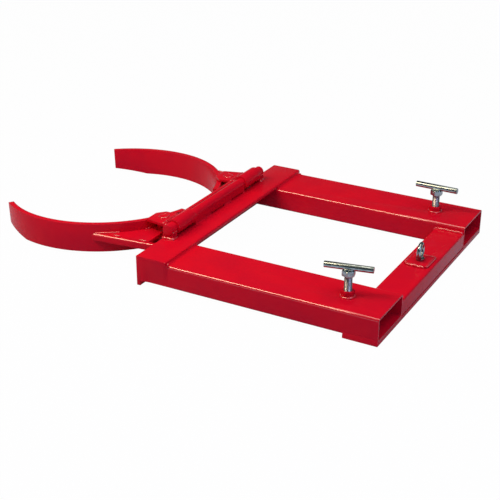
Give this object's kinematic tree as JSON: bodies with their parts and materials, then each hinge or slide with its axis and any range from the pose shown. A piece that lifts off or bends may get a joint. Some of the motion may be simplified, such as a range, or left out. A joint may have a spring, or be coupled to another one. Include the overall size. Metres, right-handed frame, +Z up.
{
  "type": "fork-mounted drum grab",
  "caption": "Red steel drum grab for lift-truck forks: a welded frame with two fork pockets, clamp screws and a safety eye, and a hinged carriage with a pair of curved jaws.",
  "frame": {"origin": "On the floor, under the middle of the whole grab's box", "axes": "+Z up; the jaws point along -X and the fork pockets open along +X; +Y is the right-hand side of a driver who looks over the jaws"},
  "size_m": [1.1818, 0.754, 0.156],
  "materials": {
    "red_enamel": "gloss red enamel over welded mild steel",
    "zinc_steel": "bright zinc plate"
  },
  "bodies": {
    "frame": {"left_fork_pocket": "red_enamel", "right_fork_pocket": "red_enamel", "front_angle": "red_enamel", "rear_plate": "red_enamel", "rear_cross_tube": "red_enamel", "hinge_axle": "red_enamel", "axle_packing": "red_enamel", "left_axle_block": "red_enamel", "right_axle_block": "red_enamel", "left_screw_nut": "red_enamel", "right_screw_nut": "red_enamel", "eye_pad_plate": "red_enamel", "lifting_eye": "zinc_steel"},
    "left_pad": {"left_pressure_pad": "zinc_steel"},
    "left_screw": {"left_clamp_screw": "zinc_steel", "left_tee_bar": "zinc_steel"},
    "right_pad": {"right_pressure_pad": "zinc_steel"},
    "right_screw": {"right_clamp_screw": "zinc_steel", "right_tee_bar": "zinc_steel"},
    "carriage": {"carriage_back_plate": "red_enamel", "left_knuckle": "red_enamel", "right_knuckle": "red_enamel", "left_upper_ear": "red_enamel", "left_lower_ear": "red_enamel", "right_upper_ear": "red_enamel", "right_lower_ear": "red_enamel", "left_pivot_pin": "red_enamel", "right_pivot_pin": "red_enamel"},
    "left_grab_jaw": {"left_jaw": "red_enamel", "left_barrel": "red_enamel", "left_heel_plate": "red_enamel", "left_heel_bar": "red_enamel"},
    "right_grab_jaw": {"right_jaw": "red_enamel", "right_barrel": "red_enamel", "right_heel_plate": "red_enamel", "right_heel_bar": "red_enamel"}
  },
  "joints": [
    {"name": "carriage_tilt", "type": "hinge", "parent": "frame", "child": "carriage", "pos_m": [-0.05911, 0, 0.10605], "axis": [0, 1, 0], "range_deg": [-2.5, 25]},
    {"name": "left_jaw_swing", "type": "hinge", "parent": "carriage", "child": "left_grab_jaw", "pos_m": [-0.11859, -0.173, 0.05612], "axis": [-0.0321, 0, 0.9995], "range_deg": [-1, 9.1]},
    {"name": "right_jaw_swing", "type": "hinge", "parent": "carriage", "child": "right_grab_jaw", "pos_m": [-0.11859, 0.173, 0.05612], "axis": [-0.0321, 0, 0.9995], "range_deg": [-9.1, 1]},
    {"name": "left_pad_slide", "type": "slide", "parent": "frame", "child": "left_pad", "axis": [0, 0, 1], "range_m": [-0.03601, 0.00001]},
    {"name": "left_screw_turn", "type": "hinge", "parent": "left_pad", "child": "left_screw", "pos_m": [0.47889, -0.298, 0.127], "axis": [0, 0, 1], "range_deg": [-5184, 0]},
    {"name": "right_pad_slide", "type": "slide", "parent": "frame", "child": "right_pad", "axis": [0, 0, 1], "range_m": [-0.03001, 0.00501]},
    {"name": "right_screw_turn", "type": "hinge", "parent": "right_pad", "child": "right_screw", "pos_m": [0.47889, 0.298, 0.122], "axis": [0, 0, 1], "range_deg": [-4320, 720]}
  ],
  "couplings": [
    {"joint": "left_jaw_swing", "follows": "carriage_tilt", "ratio": 0.36},
    {"joint": "right_jaw_swing", "follows": "carriage_tilt", "ratio": -0.36},
    {"joint": "left_pad_slide", "follows": "left_screw_turn", "m_per_rad": 0.00039789},
    {"joint": "right_pad_slide", "follows": "right_screw_turn", "m_per_rad": 0.00039789}
  ]
}
